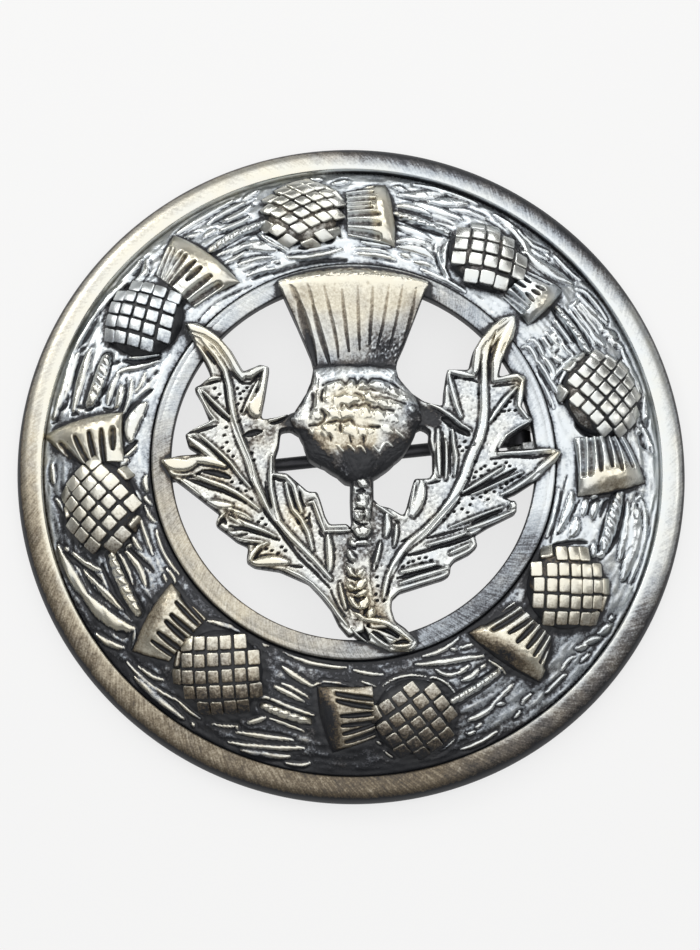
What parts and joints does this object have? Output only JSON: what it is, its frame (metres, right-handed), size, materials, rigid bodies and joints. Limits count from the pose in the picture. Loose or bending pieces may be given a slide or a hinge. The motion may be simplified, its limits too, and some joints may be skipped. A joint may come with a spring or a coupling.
{
  "type": "plaid brooch",
  "caption": "Round domed ring brooch with raised thistles on carved leaves, an openwork thistle across its opening, and a hinged pin behind for holding a plaid at the shoulder.",
  "frame": {"origin": "middle of the ring, on the plane that the rim rests on", "axes": "+Z out of the decorated face, +Y towards the crown of the centre thistle, +X to the right seen from the front"},
  "size_m": [0.076, 0.076, 0.009],
  "materials": {
    "antique_metal": "antiqued, dark in the recesses",
    "dark_steel": "dull"
  },
  "bodies": {
    "brooch": {"brooch_casting": "antique_metal", "hinge_rivet": "dark_steel"},
    "pin": {"pin_stem": "dark_steel"}
  },
  "joints": [
    {"name": "pin_hinge", "type": "hinge", "parent": "brooch", "child": "pin", "pos_m": [0.01888, 0.00309, 0.0019], "axis": [0.1132, -0.9936, 0], "range_deg": [0, 80]}
  ]
}
